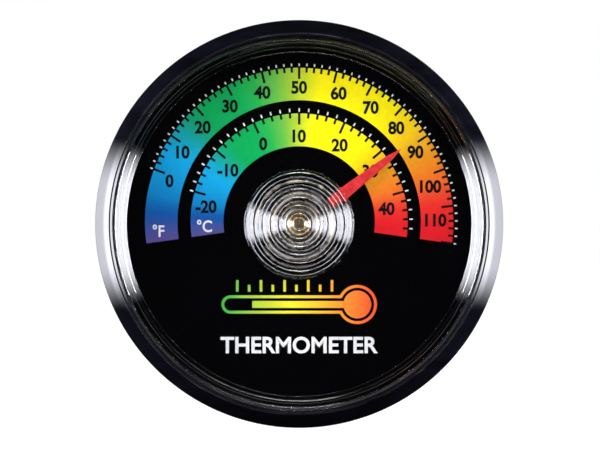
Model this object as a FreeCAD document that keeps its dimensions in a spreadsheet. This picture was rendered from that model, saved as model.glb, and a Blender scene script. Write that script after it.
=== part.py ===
import FreeCAD, Part
import math
import os
import Sketcher
from FreeCAD import Placement, Rotation, Vector

# A dial thermometer for a terrarium or aquarium wall: a flat spiral of bimetal strip on a slotted post
# turns a pointer over a printed scale, behind a clear lens held by a snap-on bezel.
#
# Millimetres. The back of the mounting pad lies on the plane y = 0 and the dial faces -Y, with twelve
# o'clock at +Z. A depth is a distance in front of the mounting plane, so a depth d lies at y = -d.
# Angles on the dial are degrees clockwise from twelve o'clock, seen from the front.

SIZES = {
    # mounting pads
    "film_thickness": 0.15,     # adhesive film under each half of the hook-and-loop fastener
    "hook_thickness": 0.9,
    "loop_thickness": 0.9,
    "pad_radius": 12.0,
    # rear case
    "case_radius": 28.4,
    "case_wall": 1.2,
    "case_floor": 1.6,
    "case_corner": 1.4,         # rounding of the back edge
    "access_radius": 2.2,       # hole behind the post, for setting it before the pad covers it
    "dial_room": 3.9,           # height inside, from the floor to the back of the dial plate
    "rim_room": 1.7,            # height of the wall above the dial plate's back, past its thickness
    "rib_length": 1.9,          # radial
    "rib_width": 1.5,
    "rib_count": 8,
    "shoulder_width": 1.0,      # how far the shoulder stands out of the case wall
    "shoulder_height": 0.8,
    "shoulder_depth": 3.6,      # from the case back to the shoulder's back face
    "bead_height": 0.25,        # snap bead on the case wall
    "bead_width": 0.8,
    "bead_setback": 2.0,        # from the shoulder to the middle of the bead
    "side_vent_height": 1.5,
    "side_vent_width": 12.0,
    "side_vent_lift": 0.3,      # from the case floor
    "side_vent_count": 8,
    "back_vent_start": 15.0,
    "back_vent_length": 8.0,
    "back_vent_width": 1.6,
    "back_vent_count": 16,
    # dial
    "dial_thickness": 0.8,
    "label_thickness": 0.15,
    "dial_gap": 0.3,            # between the dial plate's edge and the case wall
    # lens
    "lens_gap": 0.1,            # between the lens skirt and the case wall
    "skirt_thickness": 1.2,
    "flange_thickness": 0.6,
    "flange_width": 1.1,
    "under_lens": 2.25,         # height from the label to the inside of the window
    "window_thickness": 1.6,
    "window_radius": 25.3,      # flat clear area
    "border_rise": 1.1,         # of the sloping border, from the window up to its top
    "border_land": 0.2,         # width of the flat on top of it
    "cavity_radius": 6.9,       # room for the coil
    "cavity_room": 0.6,         # from the front of the coil to the roof of the cavity
    "roof_thickness": 1.05,     # at the bottom of the rings' grooves
    "ring_pitch": 1.2,          # the concentric rings on the boss
    "ring_curve": 0.75,
    "ring_count": 6,
    "pip_radius": 0.35,
    "pip_height": 0.15,
    "pip_groove": 0.65,         # radius of the first groove
    # bezel
    "bezel_wall": 1.6,          # from the case wall's face to the bezel's outer face
    "bezel_front": 13.9,        # depth of the bezel's front
    "bezel_edge": 0.3,
    "snap_gap": 0.05,
    "lip_reach": 2.6,           # width of the bezel, from its outer face to its opening
    "lip_chamfer": 0.3,
    "lip_flat": 0.2,
    "roll_drop": 2.1,
    "roll_curve": 5.7,
    # post and its bearing
    "post_radius": 1.5,
    "post_gap": 0.05,           # running clearance, all round and end to end
    "head_radius": 1.85,
    "collar_radius": 2.3,
    "collar_height": 0.7,
    "post_chamfer": 0.2,
    "post_tail": 2.6,           # from the back of the bush to the back end of the post
    "coil_slot_angle": 30.6,
    "coil_slot_width": 0.4,
    "driver_slot_width": 0.5,
    "driver_slot_depth": 0.8,
    "bush_radius": 2.5,
    "bush_tail": 1.0,           # how far the bush stands behind the dial plate
    "flange_radius": 3.2,
    "flange_height": 0.4,
    "rivet_radius": 2.95,
    "rivet_height": 0.4,
    # friction washer and retaining clip
    "washer_thickness": 0.2,
    "washer_rise": 0.5,
    "washer_gap": 0.1,          # between the washer's bore and the post
    "washer_radius": 2.6,
    "clip_thickness": 0.6,
    "clip_radius": 3.0,
    "clip_mouth": 1.8,
    "groove_depth": 0.4,
    # bimetal coil
    "coil_gap": 0.3,            # between the post's collar and the coil
    "strip_width": 2.0,
    "strip_thickness": 0.3,
    "coil_start": 2.1,          # radius of the strip's middle at the post
    "coil_end": 5.9,
    "coil_turns": 5,
    "coil_tail": 14.0,          # degrees that the strip runs on past the pointer
    "tang_back": 1.6,           # how far the inner end reaches past the axis
    # pointer
    "pointer_angle": 52.3,
    "pointer_lift": 0.75,       # from the label to the back of the blade
    "pointer_thickness": 0.5,
    "pointer_offset": 0.45,     # the blade's middle line, clockwise of the axis
    "heel_inset": 0.2,          # from the coil's end radius to the blade's inner end
    "heel_width": 2.0,
    "neck_width": 1.05,
    "neck_reach": 16.2,
    "pointer_reach": 18.8,
    "tab_thickness": 0.3,
    "tab_width": 1.0,
    "tab_height": 1.6,
    # crimped clip that joins the pointer to the coil
    "crimp_sheet": 0.2,
    "crimp_width": 0.9,
    "crimp_height": 1.7,
}

doc = FreeCAD.newDocument("dial_thermometer")
sheet = doc.addObject("Spreadsheet::Sheet", "Sizes")


class Size:
    """A number together with the spreadsheet expression it comes from."""

    def __init__(self, value, text):
        self.value = value
        self.text = text

    def join(self, sign, other, value):
        right = other.text if isinstance(other, Size) else str(other)
        return Size(value, f"({self.text} {sign} {right})")

    def __add__(self, other):
        return self.join("+", other, self.value + number(other))

    def __sub__(self, other):
        return self.join("-", other, self.value - number(other))

    def __mul__(self, other):
        return self.join("*", other, self.value * number(other))

    def __truediv__(self, other):
        return self.join("/", other, self.value / number(other))


def number(size):
    return size.value if isinstance(size, Size) else size


def fill_sheet():
    """Write every size in the sheet and return them by name."""
    sizes = {}
    for row, (name, value) in enumerate(SIZES.items(), start=1):
        sheet.set(f"A{row}", name)
        sheet.set(f"B{row}", str(value))
        sheet.setAlias(f"B{row}", name)
        sizes[name] = Size(value, f"Sizes.{name}")
    doc.recompute()
    return sizes


s = fill_sheet()
ZERO = s["pad_radius"] - s["pad_radius"]

# Depths, from the mounting plane forwards.
HOOK_BACK = s["film_thickness"]
HOOK_FRONT = HOOK_BACK + s["hook_thickness"]
LOOP_FRONT = HOOK_FRONT + s["loop_thickness"]
CASE_BACK = LOOP_FRONT + s["film_thickness"]
FLOOR_FRONT = CASE_BACK + s["case_floor"]
DIAL_BACK = FLOOR_FRONT + s["dial_room"]
DIAL_FRONT = DIAL_BACK + s["dial_thickness"]
LABEL_FRONT = DIAL_FRONT + s["label_thickness"]
CASE_RIM = DIAL_FRONT + s["rim_room"]
FLANGE_FRONT = CASE_RIM + s["flange_thickness"]
WINDOW_BACK = LABEL_FRONT + s["under_lens"]
WINDOW_FRONT = WINDOW_BACK + s["window_thickness"]
SHOULDER_BACK = CASE_BACK + s["shoulder_depth"]
SHOULDER_FRONT = SHOULDER_BACK + s["shoulder_height"]
BEAD_MIDDLE = SHOULDER_FRONT + s["bead_setback"]
BUSH_FRONT = LABEL_FRONT + s["flange_height"]
BUSH_BACK = DIAL_BACK - s["bush_tail"]
COLLAR_BACK = BUSH_FRONT + s["post_gap"]
COLLAR_FRONT = COLLAR_BACK + s["collar_height"]
COIL_BACK = COLLAR_FRONT + s["coil_gap"]
COIL_FRONT = COIL_BACK + s["strip_width"]
POST_BACK = BUSH_BACK - s["post_tail"]
WASHER_FRONT = BUSH_BACK - s["post_gap"]
CLIP_FRONT = WASHER_FRONT - s["washer_rise"] - s["washer_thickness"]
CLIP_BACK = CLIP_FRONT - s["clip_thickness"]
POINTER_BACK = LABEL_FRONT + s["pointer_lift"]
POINTER_FRONT = POINTER_BACK + s["pointer_thickness"]
CAVITY_ROOF = COIL_FRONT + s["cavity_room"]
RING_GROOVE = CAVITY_ROOF + s["roof_thickness"]
CRIMP_FRONT = COIL_FRONT + s["crimp_sheet"]

# Radii that follow from the pieces they meet.
CASE_INSIDE = s["case_radius"] - s["case_wall"]
DIAL_RADIUS = CASE_INSIDE - s["dial_gap"]
LENS_RADIUS = CASE_INSIDE - s["lens_gap"]
BEZEL_RADIUS = s["case_radius"] + s["bezel_wall"]
BEZEL_INSIDE = s["case_radius"] + s["snap_gap"]
BEZEL_OPENING = BEZEL_RADIUS - s["lip_reach"]
BUSH_BORE = s["post_radius"] + s["post_gap"]
TAB_INNER = s["coil_end"] + s["strip_thickness"] / 2
TAB_OUTER = TAB_INNER + s["tab_thickness"]
GROOVE_RADIUS = s["post_radius"] - s["groove_depth"]

# The coil runs on past whole turns to where the pointer's tab meets it.
COIL_TURNS = s["coil_turns"] + (s["pointer_angle"] - s["coil_slot_angle"] + s["coil_tail"]) / 360
COIL_PITCH = (s["coil_end"] - s["coil_start"]) / COIL_TURNS


def plane_of(body, role):
    return next(item for item in body.Origin.OriginFeatures if item.Role == role)


def new_body(label):
    body = doc.addObject("PartDesign::Body", label)
    body.Label = label
    return body


def new_sketch(body, name, role, depth=None, clockwise=None):
    """A sketch on an origin plane; depth moves it forwards and clockwise turns it on the dial."""
    sketch = body.newObject("Sketcher::SketchObject", name)
    sketch.AttachmentSupport = [(plane_of(body, role), "")]
    sketch.MapMode = "FlatFace"
    if depth is not None:
        sketch.AttachmentOffset = Placement(Vector(0, 0, depth.value), Rotation())
        sketch.setExpression(".AttachmentOffset.Base.z", depth.text)
    if clockwise is not None:
        sketch.AttachmentOffset = Placement(
            sketch.AttachmentOffset.Base, Rotation(Vector(0, 0, 1), -clockwise.value))
        sketch.setExpression(".AttachmentOffset.Rotation.Angle", f"-({clockwise.text})")
    return sketch


def rounded_edge(start, end, radius):
    """The short counter-clockwise arc from start to end."""
    chord = end - start
    left = Vector(-chord.y, chord.x, 0).normalize()
    centre = (start + end) * 0.5 + left * math.sqrt(radius ** 2 - chord.Length ** 2 / 4)
    first = math.atan2(start.y - centre.y, start.x - centre.x)
    last = math.atan2(end.y - centre.y, end.x - centre.x)
    if last < first:
        last += 2 * math.pi
    return Part.ArcOfCircle(Part.Circle(centre, Vector(0, 0, 1), radius), first, last)


def bind(sketch, name, kind, first, second, size):
    """A horizontal or vertical distance from first to second, bound to the sheet."""
    value = size.value
    text = size.text
    if value < 0:
        first, second = second, first
        value = -value
        text = f"-({text})"
    index = sketch.addConstraint(Sketcher.Constraint(kind, *first, *second, value))
    sketch.renameConstraint(index, name)
    sketch.setExpression(f"Constraints.{name}", text)


def draw_outline(sketch, outline):
    """A closed outline of (x, y) or (x, y, radius) points, counter-clockwise.

    The radius rounds the edge that leaves its point.
    """
    corners = [Vector(point[0].value, point[1].value, 0) for point in outline]
    count = len(outline)
    for index, point in enumerate(outline):
        start = corners[index]
        end = corners[(index + 1) % count]
        if len(point) > 2:
            sketch.addGeometry(rounded_edge(start, end, point[2].value), False)
        else:
            sketch.addGeometry(Part.LineSegment(start, end), False)
    origin = (-1, 1)
    for index, point in enumerate(outline):
        after = (index + 1) % count
        sketch.addConstraint(Sketcher.Constraint("Coincident", index, 2, after, 1))
        bind(sketch, f"across{index}", "DistanceX", origin, (index, 1), point[0])
        bind(sketch, f"along{index}", "DistanceY", origin, (index, 1), point[1])
        if len(point) > 2:
            round_index = sketch.addConstraint(Sketcher.Constraint("Radius", index, point[2].value))
            sketch.renameConstraint(round_index, f"round{index}")
            sketch.setExpression(f"Constraints.round{index}", point[2].text)


def rectangle(left, right, bottom, top):
    return [(left, bottom), (right, bottom), (right, top), (left, top)]


def turned(label, outline):
    """A body turned about the dial's axis from (radius, depth) points.

    The points run outwards along the front, back along the outside and inwards along the back.
    """
    body = new_body(label)
    sketch = new_sketch(body, f"{label}_outline", "XY_Plane")
    draw_outline(sketch, [(point[0], ZERO - point[1], *point[2:]) for point in outline])
    revolution = body.newObject("PartDesign::Revolution", f"{label}_turning")
    revolution.Profile = sketch
    revolution.ReferenceAxis = (sketch, ["V_Axis"])
    revolution.Angle = 360
    return body


def washer(label, inner, outer, back, front):
    """A flat ring, or a disc where the inner radius is zero."""
    return turned(label, [(inner, front), (outer, front), (outer, back), (inner, back)])


def add_pad(body, name, outline, depth, height, clockwise=None):
    """Add a prism that stands forwards from a depth."""
    sketch = new_sketch(body, f"{name}_outline", "XZ_Plane", depth, clockwise)
    draw_outline(sketch, outline)
    pad = body.newObject("PartDesign::Pad", name)
    pad.Profile = sketch
    pad.setExpression("Length", height.text)
    return pad


def add_pocket(body, name, outline, depth, length, clockwise=None, forwards=False):
    """Cut a prism backwards from a depth, or forwards."""
    sketch = new_sketch(body, f"{name}_outline", "XZ_Plane", depth, clockwise)
    draw_outline(sketch, outline)
    pocket = body.newObject("PartDesign::Pocket", name)
    pocket.Profile = sketch
    pocket.setExpression("Length", length.text)
    pocket.Reversed = forwards
    return pocket


def repeat_round(body, feature, count):
    """Repeat a feature evenly about the dial's axis."""
    pattern = body.newObject("PartDesign::PolarPattern", f"{feature.Name}_ring")
    pattern.Originals = [feature]
    pattern.Axis = (plane_of(body, "Y_Axis"), [""])
    pattern.Angle = 360
    pattern.setExpression("Occurrences", count.text)
    body.Tip = pattern


def build_mounting_pads():
    """The hook half is stuck to the tank wall and the loop half to the case."""
    radius = s["pad_radius"]
    washer("hook_adhesive", ZERO, radius, ZERO, HOOK_BACK)
    washer("hook_pad", ZERO, radius, HOOK_BACK, HOOK_FRONT)
    washer("loop_pad", ZERO, radius, HOOK_FRONT, LOOP_FRONT)
    washer("loop_adhesive", ZERO, radius, LOOP_FRONT, CASE_BACK)


def build_rear_case():
    outside = s["case_radius"]
    half_bead = s["bead_width"] / 2
    body = turned("rear_case", [
        (s["access_radius"], FLOOR_FRONT),
        (CASE_INSIDE, FLOOR_FRONT),
        (CASE_INSIDE, CASE_RIM),
        (outside, CASE_RIM),
        (outside, BEAD_MIDDLE + half_bead),
        (outside + s["bead_height"], BEAD_MIDDLE),
        (outside, BEAD_MIDDLE - half_bead),
        (outside, SHOULDER_FRONT),
        (outside + s["shoulder_width"], SHOULDER_FRONT),
        (outside + s["shoulder_width"], SHOULDER_BACK),
        (outside, SHOULDER_BACK),
        (outside, CASE_BACK + s["case_corner"], s["case_corner"]),
        (outside - s["case_corner"], CASE_BACK),
        (s["access_radius"], CASE_BACK),
    ])
    half_rib = s["rib_width"] / 2
    rib_outer = CASE_INSIDE + s["case_wall"] / 2
    rib_turn = Size(180, "180") / s["rib_count"]
    rib = add_pad(body, "dial_rib", rectangle(ZERO - half_rib, half_rib, CASE_INSIDE - s["rib_length"],
                                              rib_outer), FLOOR_FRONT, s["dial_room"], rib_turn)
    repeat_round(body, rib, s["rib_count"])

    half_vent = s["side_vent_width"] / 2
    vent_back = FLOOR_FRONT + s["side_vent_lift"]
    vent_sketch = new_sketch(body, "side_vent_outline", "YZ_Plane")
    draw_outline(vent_sketch, rectangle(ZERO - vent_back - s["side_vent_height"], ZERO - vent_back,
                                        ZERO - half_vent, half_vent))
    side_vent = body.newObject("PartDesign::Pocket", "side_vent")
    side_vent.Profile = vent_sketch
    side_vent.setExpression("Length", (outside + s["shoulder_width"]).text)
    side_vent.Reversed = True
    repeat_round(body, side_vent, s["side_vent_count"])

    half_slot = s["back_vent_width"] / 2
    slot_end = s["back_vent_start"] + s["back_vent_length"]
    back_vent = add_pocket(body, "back_vent", rectangle(ZERO - half_slot, half_slot,
                                                        s["back_vent_start"], slot_end),
                           FLOOR_FRONT, s["case_floor"])
    repeat_round(body, back_vent, s["back_vent_count"])


def build_bezel_ring():
    groove = BEZEL_INSIDE + s["bead_height"]
    half_groove = s["bead_width"] / 2 + s["snap_gap"]
    roll_start = BEZEL_OPENING + s["lip_chamfer"] + s["lip_flat"]
    turned("bezel_ring", [
        (BEZEL_OPENING, s["bezel_front"] - s["lip_chamfer"]),
        (BEZEL_OPENING + s["lip_chamfer"], s["bezel_front"]),
        (roll_start, s["bezel_front"], s["roll_curve"]),
        (BEZEL_RADIUS, s["bezel_front"] - s["roll_drop"]),
        (BEZEL_RADIUS, SHOULDER_FRONT + s["bezel_edge"]),
        (BEZEL_RADIUS - s["bezel_edge"], SHOULDER_FRONT),
        (BEZEL_INSIDE, SHOULDER_FRONT),
        (BEZEL_INSIDE, BEAD_MIDDLE - half_groove),
        (groove, BEAD_MIDDLE - half_groove),
        (groove, BEAD_MIDDLE + half_groove),
        (BEZEL_INSIDE, BEAD_MIDDLE + half_groove),
        (BEZEL_INSIDE, FLANGE_FRONT),
        (BEZEL_OPENING, FLANGE_FRONT),
    ])


def build_lens():
    """A clear window with a ringed boss over the coil, and a skirt that holds the dial down."""
    boss_radius = s["pip_groove"] + s["ring_pitch"] * s["ring_count"]
    border_top = WINDOW_FRONT + s["border_rise"]
    pip_front = RING_GROOVE + s["pip_height"]
    skirt_inside = LENS_RADIUS - s["skirt_thickness"]
    outline = [(ZERO, pip_front), (s["pip_radius"], pip_front)]
    for ring in range(SIZES["ring_count"]):
        outline.append((s["pip_groove"] + s["ring_pitch"] * ring, RING_GROOVE, s["ring_curve"]))
    outline += [
        (boss_radius, RING_GROOVE),
        (boss_radius, WINDOW_FRONT),
        (s["window_radius"], WINDOW_FRONT),
        (LENS_RADIUS - s["border_land"], border_top),
        (LENS_RADIUS, border_top),
        (LENS_RADIUS, FLANGE_FRONT),
        (LENS_RADIUS + s["flange_width"], FLANGE_FRONT),
        (LENS_RADIUS + s["flange_width"], CASE_RIM),
        (LENS_RADIUS, CASE_RIM),
        (LENS_RADIUS, LABEL_FRONT),
        (skirt_inside, LABEL_FRONT),
        (skirt_inside, WINDOW_BACK),
        (s["cavity_radius"], WINDOW_BACK),
        (s["cavity_radius"], CAVITY_ROOF),
        (ZERO, CAVITY_ROOF),
    ]
    turned("lens", outline)


def build_dial():
    washer("dial_plate", s["bush_radius"], DIAL_RADIUS, DIAL_BACK, DIAL_FRONT)
    washer("scale_label", s["bush_radius"], DIAL_RADIUS, DIAL_FRONT, LABEL_FRONT)


def build_post_bush():
    """A flanged bush, riveted over behind the dial plate."""
    turned("post_bush", [
        (BUSH_BORE, BUSH_FRONT),
        (s["flange_radius"], BUSH_FRONT),
        (s["flange_radius"], LABEL_FRONT),
        (s["bush_radius"], LABEL_FRONT),
        (s["bush_radius"], DIAL_BACK),
        (s["rivet_radius"], DIAL_BACK),
        (s["rivet_radius"], DIAL_BACK - s["rivet_height"]),
        (s["bush_radius"], DIAL_BACK - s["rivet_height"]),
        (s["bush_radius"], BUSH_BACK),
        (BUSH_BORE, BUSH_BACK),
    ])


def build_coil_post():
    """The post that holds the coil's inner end and turns stiffly in the bush to set the zero."""
    chamfer = s["post_chamfer"]
    radius = s["post_radius"]
    body = turned("coil_post", [
        (ZERO, COIL_FRONT),
        (s["head_radius"] - chamfer, COIL_FRONT),
        (s["head_radius"], COIL_FRONT - chamfer),
        (s["head_radius"], COLLAR_FRONT),
        (s["collar_radius"], COLLAR_FRONT),
        (s["collar_radius"], COLLAR_BACK),
        (radius, COLLAR_BACK),
        (radius, CLIP_FRONT + s["post_gap"]),
        (GROOVE_RADIUS, CLIP_FRONT + s["post_gap"]),
        (GROOVE_RADIUS, CLIP_BACK - s["post_gap"]),
        (radius, CLIP_BACK - s["post_gap"]),
        (radius, POST_BACK + chamfer),
        (radius - chamfer, POST_BACK),
        (ZERO, POST_BACK),
    ])
    half_coil_slot = s["coil_slot_width"] / 2
    add_pocket(body, "coil_slot", rectangle(ZERO - half_coil_slot, half_coil_slot,
                                            ZERO - s["collar_radius"], s["collar_radius"]),
               COIL_FRONT, s["strip_width"] + s["post_gap"], s["coil_slot_angle"])
    half_driver_slot = s["driver_slot_width"] / 2
    add_pocket(body, "driver_slot", rectangle(ZERO - half_driver_slot, half_driver_slot,
                                              ZERO - radius, radius),
               POST_BACK, s["driver_slot_depth"], s["coil_slot_angle"], forwards=True)


def build_friction_washer():
    """A dished spring washer that loads the post against the bush."""
    bore = s["post_radius"] + s["washer_gap"]
    front = WASHER_FRONT
    turned("friction_washer", [
        (bore, front - s["washer_rise"]),
        (s["washer_radius"], front),
        (s["washer_radius"], front - s["washer_thickness"]),
        (bore, CLIP_FRONT),
    ])


def build_retaining_clip():
    body = washer("retaining_clip", GROOVE_RADIUS, s["clip_radius"], CLIP_BACK, CLIP_FRONT)
    half_mouth = s["clip_mouth"] / 2
    add_pocket(body, "clip_mouth", rectangle(ZERO - half_mouth, half_mouth,
                                             ZERO - s["clip_radius"], ZERO),
               CLIP_FRONT, s["clip_thickness"])


def build_bimetal_coil():
    """A flat spiral strip whose straight inner end, the tang, lies through the post's slot."""
    half_strip = s["strip_thickness"] / 2
    spiral = doc.addObject("Part::Spiral", "coil_centre_line")
    spiral.setExpression("Radius", s["coil_start"].text)
    spiral.setExpression("Rotations", COIL_TURNS.text)
    spiral.setExpression("Growth", COIL_PITCH.text)

    section = doc.addObject("Part::Plane", "strip_section")
    section.setExpression("Length", s["strip_width"].text)
    section.setExpression("Width", s["strip_thickness"].text)
    across_then_along = Rotation(Vector(0, 0, 1), Vector(1, 0, 0), Vector(0, 1, 0))
    section.Placement = Placement(Vector(0, 0, 0), across_then_along)
    section.setExpression(".Placement.Base.x", (s["coil_start"] - half_strip).text)
    section.setExpression(".Placement.Base.z", (ZERO - s["strip_width"]).text)

    strip = doc.addObject("Part::Sweep", "strip")
    strip.Sections = [section]
    strip.Spine = (spiral, [])
    strip.Solid = True
    strip.Frenet = True

    tang = doc.addObject("Part::Box", "tang")
    tang.setExpression("Length", (s["coil_start"] + half_strip + s["tang_back"]).text)
    tang.setExpression("Width", s["strip_thickness"].text)
    tang.setExpression("Height", s["strip_width"].text)
    tang.setExpression(".Placement.Base.x", (ZERO - s["tang_back"]).text)
    tang.setExpression(".Placement.Base.y", (ZERO - half_strip).text)
    tang.setExpression(".Placement.Base.z", (ZERO - s["strip_width"]).text)

    coil = doc.addObject("Part::MultiFuse", "bimetal_coil")
    coil.Label = "bimetal_coil"
    coil.Shapes = [strip, tang]
    coil.setExpression("Placement", (
        f"placement(vector(0; -({COIL_BACK.text}); 0); "
        f"rotation(vector(0; 1; 0); {s['coil_slot_angle'].text} - 90) * rotation(vector(1; 0; 0); -90))"))


def build_pointer():
    """A flat tapering blade with a tab, bent up at its heel, that lies on the coil's outer turn."""
    middle = s["pointer_offset"]
    half_heel = s["heel_width"] / 2
    half_neck = s["neck_width"] / 2
    half_tab = s["tab_width"] / 2
    heel = s["coil_end"] - s["heel_inset"]
    body = new_body("pointer")
    add_pad(body, "blade", [
        (middle - half_heel, heel),
        (middle + half_heel, heel),
        (middle + half_neck, s["neck_reach"]),
        (middle, s["pointer_reach"]),
        (middle - half_neck, s["neck_reach"]),
    ], POINTER_BACK, s["pointer_thickness"], s["pointer_angle"])
    add_pad(body, "tab", rectangle(middle - half_tab, middle + half_tab, TAB_INNER, TAB_OUTER),
            POINTER_FRONT, s["tab_height"], s["pointer_angle"])


def build_pointer_clip():
    """A folded clip, crimped over the coil's outer turn and the pointer's tab.

    Its inner leg fills the middle two fifths of the gap between the outer turn and the next.
    """
    middle = s["pointer_offset"] / 2
    half_width = s["crimp_width"] / 2
    sheet_gauge = s["crimp_sheet"]
    turn_gap = COIL_PITCH - s["strip_thickness"]
    inner_leg = turn_gap * 0.4
    inner = s["coil_end"] - s["strip_thickness"] / 2 - turn_gap * 0.3
    body = new_body("pointer_clip")
    add_pad(body, "crimp_block",
            rectangle(middle - half_width, middle + half_width, inner - inner_leg, TAB_OUTER + sheet_gauge),
            CRIMP_FRONT - s["crimp_height"], s["crimp_height"], s["pointer_angle"])
    add_pocket(body, "crimp_channel",
               rectangle(middle - half_width, middle + half_width, inner, TAB_OUTER),
               CRIMP_FRONT - sheet_gauge, s["crimp_height"], s["pointer_angle"])


build_mounting_pads()
build_rear_case()
build_bezel_ring()
build_lens()
build_dial()
build_post_bush()
build_coil_post()
build_friction_washer()
build_retaining_clip()
build_bimetal_coil()
build_pointer()
build_pointer_clip()
doc.recompute()

for item in doc.Objects:
    if "Invalid" in item.State or "Error" in item.State:
        raise RuntimeError(f"{item.Label} did not build: {item.State}")

pieces = [item for item in doc.Objects if item.TypeId in ("PartDesign::Body", "Part::MultiFuse")]
os.makedirs("parts", exist_ok=True)
for piece in pieces:
    if piece.Shape.isNull() or not piece.Shape.isValid():
        raise RuntimeError(f"{piece.Label} has no valid shape")
    piece.Shape.exportStep(f"parts/{piece.Label}.step")
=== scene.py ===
import math
import random
import bmesh
import bpy
from mathutils import Matrix, Vector
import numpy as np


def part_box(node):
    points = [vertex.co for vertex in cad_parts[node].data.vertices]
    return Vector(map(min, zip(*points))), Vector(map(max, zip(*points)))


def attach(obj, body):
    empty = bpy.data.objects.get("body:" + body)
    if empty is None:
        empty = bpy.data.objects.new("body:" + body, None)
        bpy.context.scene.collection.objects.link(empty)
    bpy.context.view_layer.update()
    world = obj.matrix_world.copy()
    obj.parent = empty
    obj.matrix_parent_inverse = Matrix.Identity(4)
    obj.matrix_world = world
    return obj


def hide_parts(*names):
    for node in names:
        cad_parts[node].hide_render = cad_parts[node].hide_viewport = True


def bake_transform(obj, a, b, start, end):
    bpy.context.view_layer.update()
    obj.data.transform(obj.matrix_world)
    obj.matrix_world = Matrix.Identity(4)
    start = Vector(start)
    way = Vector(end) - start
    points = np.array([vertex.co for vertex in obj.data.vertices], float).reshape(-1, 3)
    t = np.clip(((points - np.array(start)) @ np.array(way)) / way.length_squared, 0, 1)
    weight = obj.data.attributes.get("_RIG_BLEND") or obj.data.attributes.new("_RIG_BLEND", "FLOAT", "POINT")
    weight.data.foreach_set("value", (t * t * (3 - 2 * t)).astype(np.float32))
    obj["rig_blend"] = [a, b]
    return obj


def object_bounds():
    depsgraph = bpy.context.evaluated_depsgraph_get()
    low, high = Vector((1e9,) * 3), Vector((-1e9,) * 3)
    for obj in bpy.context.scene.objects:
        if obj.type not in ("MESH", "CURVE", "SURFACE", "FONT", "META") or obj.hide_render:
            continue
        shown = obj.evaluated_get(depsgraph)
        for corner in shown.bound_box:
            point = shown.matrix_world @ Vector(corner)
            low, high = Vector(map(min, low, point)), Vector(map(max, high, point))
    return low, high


# The looks of a terrarium dial thermometer. Sizes are in millimetres until they reach a mesh, but
# the stage is in metres. A depth is a distance in front of the mounting plane, so a depth d lies
# at y = -d. Dial angles are degrees clockwise from twelve o'clock (+Z), seen from the front.

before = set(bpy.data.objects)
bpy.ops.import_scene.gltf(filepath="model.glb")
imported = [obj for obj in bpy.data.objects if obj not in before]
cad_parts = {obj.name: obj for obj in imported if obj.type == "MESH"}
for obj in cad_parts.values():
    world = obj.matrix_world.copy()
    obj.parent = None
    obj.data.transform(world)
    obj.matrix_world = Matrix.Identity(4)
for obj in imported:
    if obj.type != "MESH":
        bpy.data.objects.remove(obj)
CAD_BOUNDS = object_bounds()
MM = 0.001
TURN_STEPS = 240                # divisions of a turned piece round the dial's axis
PRINT_HEIGHT = 0.012            # how far one layer of ink stands above the one below


def front_depth(node):
    return -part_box(node)[0].y / MM


def back_depth(node):
    return -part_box(node)[1].y / MM


def outer_radius(node):
    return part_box(node)[1].x / MM


LABEL_FRONT = front_depth("scale_label")
CASE_RADIUS = 28.4
LENS_FLANGE = outer_radius("lens")
LENS_RADIUS = LENS_FLANGE - 1.1     # in front of the flange
FLANGE_FRONT = back_depth("lens") + 2.15
BEZEL_RADIUS = outer_radius("bezel_ring")
BEZEL_FRONT = front_depth("bezel_ring")
BEZEL_BACK = back_depth("bezel_ring")
ROLL_DROP = 2.1                 # from the bezel's front to the foot of its roll
COIL_FRONT = front_depth("bimetal_coil")
COIL_BACK = back_depth("bimetal_coil")
POINTER_ANGLE = 52.3            # on the dial, at rest


# ---------------------------------------------------------------- meshes

def on_dial(radius, clockwise, depth=0.0):
    """The point at a radius and dial angle, in metres."""
    turn = math.radians(clockwise)
    return Vector((radius * math.sin(turn), -depth, radius * math.cos(turn))) * MM


def add_object(name, mesh, material, body, replaced=()):
    """Put a mesh in the scene, on a body, with its material in the mesh's own slot."""
    piece = bpy.data.objects.new(name, mesh)
    bpy.context.scene.collection.objects.link(piece)
    mesh.materials.append(material)
    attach(piece, body)
    if replaced:
        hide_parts(*replaced)
    return piece


FILLET_STEPS = 5
LONGEST_REACH = 0.48            # of an outline's side, that one fillet may take


def rounded_outline(corners):
    """Points and outward normals of a closed outline of (radius, depth, fillet) corners.

    The outline runs outwards along the front. A corner without a fillet gets the mean normal.
    """
    points = []
    count = len(corners)
    for index, (radius, depth, fillet) in enumerate(corners):
        here = Vector((radius, depth))
        before = Vector(corners[index - 1][:2]) - here
        after = Vector(corners[(index + 1) % count][:2]) - here
        arriving = Vector((before.y, -before.x)).normalized()
        leaving = Vector((-after.y, after.x)).normalized()
        if fillet == 0:
            points.append((here, (arriving + leaving).normalized()))
            continue
        to_before = before.normalized()
        to_after = after.normalized()
        half = to_before.angle(to_after) / 2
        longest = LONGEST_REACH * min(before.length, after.length)
        reach = min(fillet / math.tan(half), longest)
        turn_radius = reach * math.tan(half)
        centre = here + (to_before + to_after).normalized() * (turn_radius / math.sin(half))
        side = 1 if (here + to_before * reach - centre).dot(arriving) > 0 else -1
        for step in range(FILLET_STEPS + 1):
            normal = arriving.slerp(leaving, step / FILLET_STEPS)
            points.append((centre + normal * turn_radius * side, normal))
    return points


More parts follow.
